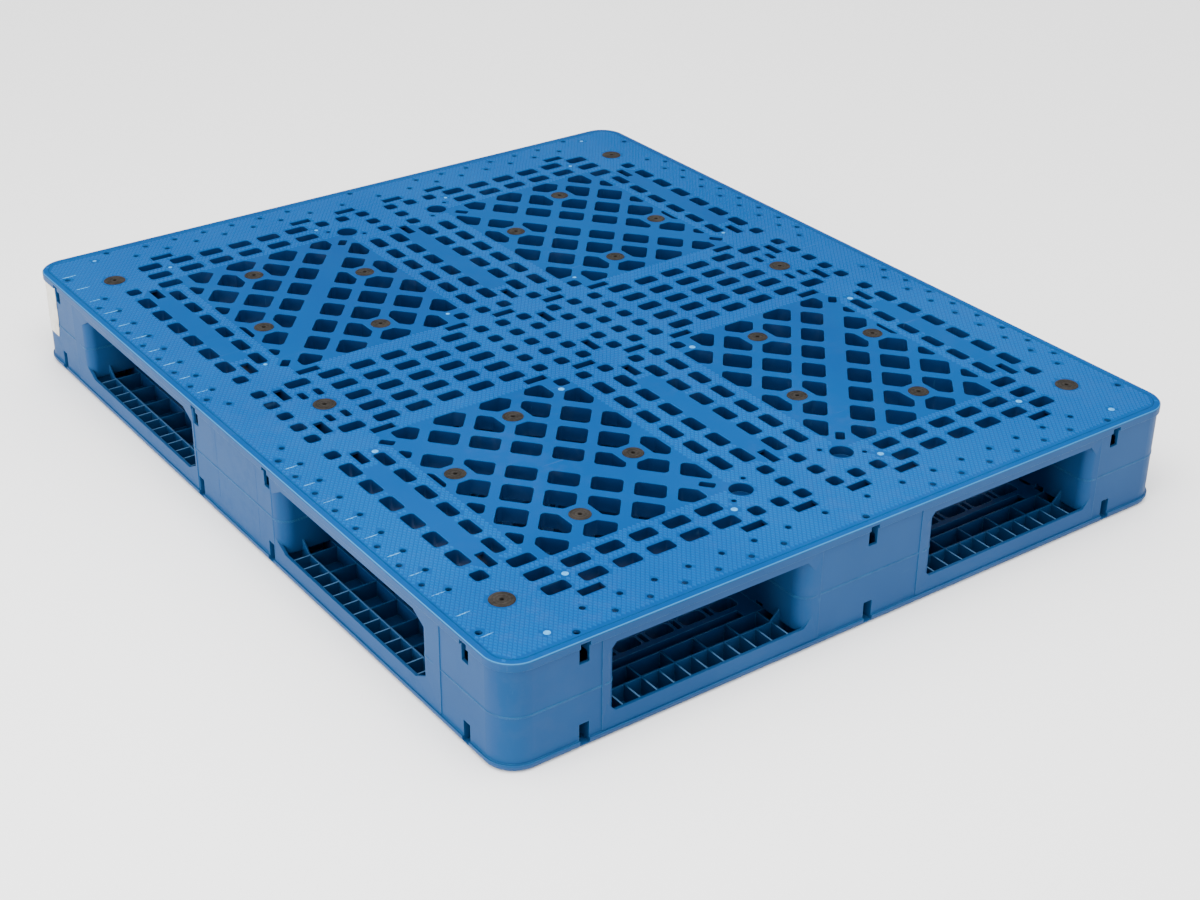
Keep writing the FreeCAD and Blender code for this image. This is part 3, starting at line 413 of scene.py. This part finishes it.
tread_blue, tread_tree = new_material("tread_blue_polyethylene")
make_blue(tread_tree, TREAD_DEEP, TREAD_PALE, DECK_ROUGH, DECK_SHINE)

deck_mesh = bmesh.new()
deck_mesh.from_mesh(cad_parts["top_shell"].data)
deck_faces = BVHTree.FromBMesh(deck_mesh)
deck_mesh.free()


def on_deck(x, y):
    """True where the deck's flat top lies under a point."""
    hit = deck_faces.ray_cast(Vector((x, y, DECK_Z + RAY_START)), Vector((0, 0, -1)))[0]
    return hit is not None and hit.z > DECK_Z - FLAT_WITHIN


def between(value, limits):
    return limits[0] <= value <= limits[1]


def is_bare(x, y):
    """True on the smooth parts of the deck: lattice fields, channel strips and gate marks."""
    across, along = abs(x), abs(y)
    if between(across, LATTICE_X) and between(along, LATTICE_Y):
        return True
    if between(along, STRIP_Y) and any(between(across, strip) for strip in STRIPS_X):
        return True
    return any(abs(x - px) < radius + REACH_X and abs(y - py) < radius + REACH_Y
               for px, py, radius in gate_marks)


def add_rhomb(bm, tips):
    """One rhomb from its four tips: a low frustum without an underside."""
    cx, cy = sum(t[0] for t in tips) / 4, sum(t[1] for t in tips) / 4
    foot = [bm.verts.new((x, y, DECK_Z + RHOMB_FOOT)) for x, y in tips]
    head = [bm.verts.new((cx + (x - cx) * RHOMB_TOP, cy + (y - cy) * RHOMB_TOP,
                          DECK_Z + RHOMB_HIGH)) for x, y in tips]
    bridge(bm, (foot, head), closed=True)
    bm.faces.new(head)


tread = bmesh.new()
columns = int(2 * (HALF_X - TREAD_MARGIN - REACH_X) / TREAD_X)
rows = int(2 * (HALF_Y - TREAD_MARGIN - REACH_Y) / TREAD_Y)
for i in range(-columns, columns + 1):
    for j in range(-rows, rows + 1):
        x, y = i * TREAD_X / 2, j * TREAD_Y / 2
        tips = ((x + REACH_X, y), (x, y + REACH_Y), (x - REACH_X, y), (x, y - REACH_Y))
        if (i + j) % 2 == 0 and not is_bare(x, y) and all(on_deck(*tip) for tip in tips):
            add_rhomb(tread, tips)
new_piece("deck_tread", tread_blue, tread)


# ---- Base shell ----
# The lower moulding of the same plastic, without tread and a shade duller from the floor. Its inner
# surfaces are painted darker as shade, and the flat tops of the short ribs behind its openings
# carry a painted highlight.
BASE_ROUGH = 0.48
RIB_TOP, RIB_TOP_WITHIN, LEVEL_NORMAL = 0.026, 0.0003, 0.9
RIB_HIGHLIGHT_RAMP, RIB_HIGHLIGHT_BLUE = (0.034, 0.028, 0.0, 0.75), (0.08, 0.19, 0.36, 1.0)

base_blue, base_tree = new_material("base_blue_polyethylene")
base_masks = group_node(base_tree, outline_masks).outputs
make_blue(base_tree, mix_colours(base_tree, base_masks["Inside"], WALL_DEEP, INNER_SHADE_DEEP),
          mix_colours(base_tree, base_masks["Inside"], WALL_PALE, INNER_SHADE_PALE), BASE_ROUGH, WALL_SHINE)
# Painted highlight: flat upward-facing rib tops near the openings are painted paler, as if lit.
off_rib_top = math_node(base_tree, "ABSOLUTE",
                        math_node(base_tree, "SUBTRACT", base_masks["Height"], RIB_TOP))
facing = base_tree.nodes.new("ShaderNodeSeparateXYZ")
true_normal = base_tree.nodes.new("ShaderNodeNewGeometry").outputs["True Normal"]
base_tree.links.new(true_normal, facing.inputs[0])
at_rib_top = math_node(base_tree, "LESS_THAN", off_rib_top, RIB_TOP_WITHIN)
highlit_rib_top = math_node(base_tree, "MULTIPLY", at_rib_top,
                  math_node(base_tree, "GREATER_THAN", facing.outputs["Z"], LEVEL_NORMAL))
paint_over(base_tree, math_node(base_tree, "MULTIPLY", highlit_rib_top,
                                ramp_node(base_tree, base_masks["Inward"], *RIB_HIGHLIGHT_RAMP)), RIB_HIGHLIGHT_BLUE)
give("base_shell", base_blue)


# ---- Grommets ----
# Grey-brown rubber plugs, bored for the pusher that sets them. The rubber is dusty, and paler where
# loads rub it. Two fine grooves run round each head between its bore and its edge.
RUBBER_DEEP, RUBBER_PALE = (0.010, 0.0085, 0.0072, 1.0), (0.022, 0.0190, 0.0165, 1.0)
RUBBER_WORN = (0.034, 0.029, 0.025, 1.0)
MOTTLE_SCALE, MOTTLE_RAMP, MOTTLE_HIGH = 160.0, (0.34, 0.68), 0.0002
BLOOM_SCALE, BLOOM_RAMP = 28.0, (0.46, 0.70, 0.0, 0.45)
RUBBER_ROUGH, RUBBER_SHINE = 0.78, 0.08

rubber, rubber_tree = new_material("grommet_rubber")
rubber_place = object_place(rubber_tree)
rubber_skin = rubber_tree.nodes["Principled BSDF"]
mottle = noise_node(rubber_tree, rubber_place, MOTTLE_SCALE, 6.0, 0.7)
bloom = noise_node(rubber_tree, rubber_place, BLOOM_SCALE, 3.0)
rubber_body = mix_colours(rubber_tree, ramp_node(rubber_tree, mottle, *MOTTLE_RAMP),
                          RUBBER_DEEP, RUBBER_PALE)
rubber_tree.links.new(mix_colours(rubber_tree, ramp_node(rubber_tree, bloom, *BLOOM_RAMP),
                                  rubber_body, RUBBER_WORN), rubber_skin.inputs["Base Color"])
rubber_skin.inputs["Roughness"].default_value = RUBBER_ROUGH
rubber_skin.inputs["Specular IOR Level"].default_value = RUBBER_SHINE
rubber_tree.links.new(bump_node(rubber_tree, mottle, MOTTLE_HIGH).outputs["Normal"],
                      rubber_skin.inputs["Normal"])

STEM_R, BARB_R, BARB_HIGH, BARB_LIP = 0.0090, 0.0105, 0.0040, 0.0015
HEAD_HIGH, HEAD_ROUND, BORE_R = 0.0030, 0.0007, 0.0026
GROOVES_R, GROOVE_HALF, GROOVE_DEEP = (0.0108, 0.0068), 0.0006, 0.0005
PLUG_SIDES = 64


def plug_section(radius, foot, top):
    """Radius and height of each corner of a plug's section, from the foot of its bore and round."""
    barb_top = foot + BARB_HIGH
    section = [(BORE_R, foot), (STEM_R, foot), (BARB_R, barb_top - BARB_LIP), (BARB_R, barb_top),
               (STEM_R, barb_top), (STEM_R, DECK_Z - HEAD_HIGH), (radius, DECK_Z - HEAD_HIGH),
               (radius, DECK_Z), (radius - HEAD_ROUND, top)]
    for middle in GROOVES_R:
        section += [(middle + GROOVE_HALF, top), (middle, top - GROOVE_DEEP),
                    (middle - GROOVE_HALF, top)]
    return section + [(BORE_R + HEAD_ROUND, top), (BORE_R, DECK_Z)]


for name in sorted(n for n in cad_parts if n.startswith("grommet")):
    low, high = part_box(name)
    cx, cy = (low[0] + high[0]) / 2, (low[1] + high[1]) / 2
    turned = bmesh.new()
    rings = [circle(turned, cx, cy, radius, z, PLUG_SIDES)
             for radius, z in plug_section((high[0] - low[0]) / 2, low[2], high[2])]
    bridge(turned, rings + rings[:1], closed=True)
    bmesh.ops.recalc_face_normals(turned, faces=turned.faces)
    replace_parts(new_piece(name + "_plug", rubber, turned), name)


# ---- Mould lines on the walls ----
# Fine raised lines where the mould's inserts met, upright on the middle blocks of the long sides.
# They are part of the same moulding, a few tenths of a millimetre proud of the walls, and uneven.
WALL_IN = 0.0025
WALL_X, WALL_Y = HALF_X - WALL_IN, HALF_Y - WALL_IN
LINES_Y = (-0.066, 0.042)
LINE_LOW, LINE_HIGH, LINE_PARTS = 0.016, 0.126, 24
LINE_W, LINE_OUT, LINE_SUNK, LINE_SWAY = 0.0010, 0.0003, 0.0001, 0.00015
LINE_UNEVEN, LINE_PHASE, SWAY_TURN, UNEVEN_TURN = 0.25, 40, 0.9, 1.7


def on_wall(axis, sign, along, out, z):
    """A point of a side wall, moved out from it; the axis is the one that runs along the wall."""
    if axis == "x":
        return along, sign * (WALL_Y + out), z
    return sign * (WALL_X + out), along, z


def add_line(bm, sign, y):
    """One upright line on a long side's wall, in short steps that wander a little."""
    steps = []
    phase = y * LINE_PHASE
    for k in range(LINE_PARTS + 1):
        z = LINE_LOW + (LINE_HIGH - LINE_LOW) * k / LINE_PARTS
        middle = y + LINE_SWAY * math.sin(k * SWAY_TURN + phase)
        proud = LINE_OUT * (1 - LINE_UNEVEN + LINE_UNEVEN * math.sin(k * UNEVEN_TURN + phase))
        section = ((-LINE_W / 2, -LINE_SUNK), (0.0, proud), (LINE_W / 2, -LINE_SUNK))
        steps.append([bm.verts.new(on_wall("y", sign, middle + side, out, z))
                      for side, out in section])
    bridge(bm, steps)


mould_lines = bmesh.new()
for sign in (-1, 1):
    for y in LINES_Y:
        add_line(mould_lines, sign, y)
bmesh.ops.recalc_face_normals(mould_lines, faces=mould_lines.faces)
new_piece("mould_lines", base_blue, mould_lines, smooth=True)


# ---- Frames of the openings ----
# The mould's inserts leave a low flat frame round each fork opening, flush with the bands above and
# below it. It ends in a small step on the block, and runs out to nothing at the opening's edge.
FRAME_OUT, FRAME_SUNK, FRAME_THIN = 0.0009, 0.0002, 0.00005
FRAME_LOW, FRAME_HIGH, FRAME_CUT, FRAME_STEP = 0.0098, 0.1292, 0.002, 0.0004
OPEN_LOW, OPEN_HIGH, OPEN_CUT_Z = 0.030, 0.119, 0.014
# The axis along the wall, the frame's two ends, the opening's two ends, the cut of its corners.
FRAMES = (("x", 0.076, 0.382, 0.086, 0.375, 0.012), ("y", 0.1035, 0.485, 0.106, 0.456, 0.025))


def cut_corners(low, high, z_low, z_high, long, tall):
    """Eight points of a rectangle with its corners cut off."""
    return [(low + long, z_low), (high - long, z_low), (high, z_low + tall), (high, z_high - tall),
            (high - long, z_high), (low + long, z_high), (low, z_high - tall), (low, z_low + tall)]


surrounds = bmesh.new()
for axis, start, end, open_start, open_end, open_cut in FRAMES:
    foot = cut_corners(start, end, FRAME_LOW, FRAME_HIGH, FRAME_CUT, FRAME_CUT)
    brow = cut_corners(start + FRAME_STEP, end - FRAME_STEP, FRAME_LOW + FRAME_STEP,
                       FRAME_HIGH - FRAME_STEP, FRAME_CUT, FRAME_CUT)
    mouth = cut_corners(open_start, open_end, OPEN_LOW, OPEN_HIGH, open_cut, OPEN_CUT_Z)
    loops = ((foot, -FRAME_SUNK), (brow, FRAME_OUT), (mouth, FRAME_THIN))
    for mirror, wall in [(m, w) for m in (-1, 1) for w in (-1, 1)]:
        bridge(surrounds, [[surrounds.verts.new(on_wall(axis, wall, mirror * along, out, z))
                            for along, z in points] for points, out in loops], closed=True)
bmesh.ops.recalc_face_normals(surrounds, faces=surrounds.faces)
for face in surrounds.faces:
    middle = face.calc_center_median()
    on_long_side = abs(middle.x) > WALL_X - FRAME_OUT
    outward = Vector((middle.x, 0, 0)) if on_long_side else Vector((0, middle.y, 0))
    if face.normal.dot(outward) < 0:
        face.normal_flip()
new_piece("opening_frames", base_blue, surrounds)


# ---- Corner label ----
# A blank coated-paper sticker stretched round one corner. It is creased over the weld bead, lifts
# and tears along one end, and has yellowed a little. A fine grid of vertices carries the creases.
PAPER_WHITE, PAPER_STAINED, PAPER_ROUGH = (0.62, 0.60, 0.55, 1.0), (0.42, 0.38, 0.32, 1.0), 0.6
STAIN_SCALE, STAIN_RAMP = 30.0, (0.40, 0.72)
CRUMPLE_SCALE, CRUMPLE_HIGH = 120.0, 0.0006
SHEET_FLAT, SHEET_OUT, SHEET_THICK = 0.028, 0.00035, 0.0002
SHEET_COLUMNS, SHEET_ROWS = 90, 60
TORN_LONG, TORN_HIGH, RAGGED = 0.006, 0.022, 0.0006
BEAD_OUT, BEAD_WIDE = 0.0007, 0.0022
CREASE_OUT, CREASES, CREASE_BEND, CREASE_TURNS = 0.00018, 310, 3, 90

paper, paper_tree = new_material("label_paper")
paper_place = object_place(paper_tree)
paper_skin = paper_tree.nodes["Principled BSDF"]
stains = noise_node(paper_tree, paper_place, STAIN_SCALE, 5.0, 0.6)
paper_tree.links.new(mix_colours(paper_tree, ramp_node(paper_tree, stains, *STAIN_RAMP),
                                 PAPER_WHITE, PAPER_STAINED), paper_skin.inputs["Base Color"])
paper_skin.inputs["Roughness"].default_value = PAPER_ROUGH
crumple = noise_node(paper_tree, paper_place, CRUMPLE_SCALE, 5.0)
crumples = bump_node(paper_tree, crumple, CRUMPLE_HIGH)
paper_tree.links.new(crumples.outputs["Normal"], paper_skin.inputs["Normal"])

label_low, label_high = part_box("corner_label")
WALL_R = CORNER_R - WALL_IN
ARC = math.pi / 2 * WALL_R
CENTRE_X, CENTRE_Y = -HALF_X + CORNER_R, HALF_Y - CORNER_R


def round_corner(along, out):
    """A point a distance along the sticker, from its end on the long side, and out from the wall."""
    if along < SHEET_FLAT:
        return -HALF_X + WALL_IN - out, CENTRE_Y - (SHEET_FLAT - along)
    if along > SHEET_FLAT + ARC:
        return CENTRE_X + (along - SHEET_FLAT - ARC), HALF_Y - WALL_IN + out
    angle = math.pi - (along - SHEET_FLAT) / WALL_R
    reach = WALL_R + out
    return CENTRE_X + reach * math.cos(angle), CENTRE_Y + reach * math.sin(angle)


label = bmesh.new()
rng = random.Random(11)
sheet_long = 2 * SHEET_FLAT + ARC
seam_z = (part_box("base_shell")[1][2] + deck_low[2]) / 2
grid = []
for j in range(SHEET_ROWS + 1):
    z = label_low[2] + (label_high[2] - label_low[2]) * j / SHEET_ROWS
    torn = TORN_LONG * max(0.0, 1 - (z - label_low[2]) / TORN_HIGH) + rng.uniform(0.0, RAGGED)
    over_bead = BEAD_OUT * math.exp(-((z - seam_z) / BEAD_WIDE) ** 2)
    row = []
    for i in range(SHEET_COLUMNS + 1):
        along = torn + (sheet_long - torn) * i / SHEET_COLUMNS
        bend = CREASE_BEND * math.sin(z * CREASE_TURNS)
        crease = CREASE_OUT * (1 + math.sin(along * CREASES + bend))
        row.append(label.verts.new((*round_corner(along, SHEET_OUT + over_bead + crease), z)))
    grid.append(row)
bridge(label, grid)
bmesh.ops.recalc_face_normals(label, faces=label.faces)
sticker = new_piece("corner_label_sheet", paper, label, smooth=True)
thickness = sticker.modifiers.new("paper", "SOLIDIFY")
thickness.thickness = SHEET_THICK
thickness.offset = -1.0
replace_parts(sticker, "corner_label")


# ---- Floor, light and camera ----
# A pale seamless floor under a broad soft overhead light, as in a product studio. The overhead
# light hangs over the near corner, so the deck darkens a little towards its far end.
FLOOR_HALF, FLOOR_DROP, FLOOR_GREY, FLOOR_ROUGH = 80.0, 0.0002, (0.93, 0.93, 0.93, 1.0), 0.9
SKY_WHITE, SKY_STRENGTH = (1.0, 1.0, 1.0, 1.0), 2.2

floor_material, floor_tree = new_material("studio_floor")
floor_skin = floor_tree.nodes["Principled BSDF"]
floor_skin.inputs["Base Color"].default_value = FLOOR_GREY
floor_skin.inputs["Roughness"].default_value = FLOOR_ROUGH
floor_mesh = bmesh.new()
bmesh.ops.create_grid(floor_mesh, x_segments=2, y_segments=2, size=FLOOR_HALF)
floor_data = bpy.data.meshes.new("studio_floor")
floor_mesh.to_mesh(floor_data)
floor_mesh.free()
floor = bpy.data.objects.new("studio_floor", floor_data)
floor.location.z = -FLOOR_DROP
floor_data.materials.append(floor_material)
bpy.context.scene.collection.objects.link(floor)

world = bpy.data.worlds.new("studio")
world.use_nodes = True
sky = world.node_tree.nodes["Background"]
sky.inputs["Color"].default_value = SKY_WHITE
sky.inputs["Strength"].default_value = SKY_STRENGTH
bpy.context.scene.world = world


def area_light(name, place, target, size, power):
    data = bpy.data.lights.new(name, "AREA")
    data.size = size
    data.energy = power
    obj = bpy.data.objects.new(name, data)
    obj.location = place
    obj.rotation_euler = (Vector(target) - Vector(place)).to_track_quat("-Z", "Y").to_euler()
    bpy.context.scene.collection.objects.link(obj)


area_light("overhead", place=(-0.55, -0.75, 2.0), target=(-0.2, -0.3, 0.1), size=1.4, power=60.0)
area_light("left_side", place=(-2.8, -0.2, 0.6), target=(-0.4, 0.0, 0.05), size=1.4, power=60.0)
area_light("front_side", place=(0.2, -2.8, 0.9), target=(0.0, -0.5, 0.0), size=1.6, power=2.0)

CAMERA_PLACE = (-1.4022, -2.0011, 1.3221)
CAMERA_RIGHT = (0.81117, -0.58475, 0.00860)
CAMERA_UP = (0.27963, 0.40073, 0.87250)
CAMERA_BACK = (-0.51363, -0.70533, 0.48857)
SENSOR_MM, LENS_MM = 36.0, 60.26
camera_data = bpy.data.cameras.new("camera")
camera_data.sensor_width = SENSOR_MM
camera_data.lens = LENS_MM
camera = bpy.data.objects.new("camera", camera_data)
turn = Matrix((CAMERA_RIGHT, CAMERA_UP, CAMERA_BACK)).transposed().to_4x4()
camera.matrix_world = Matrix.Translation(CAMERA_PLACE) @ turn
bpy.context.scene.collection.objects.link(camera)
bpy.context.scene.camera = camera
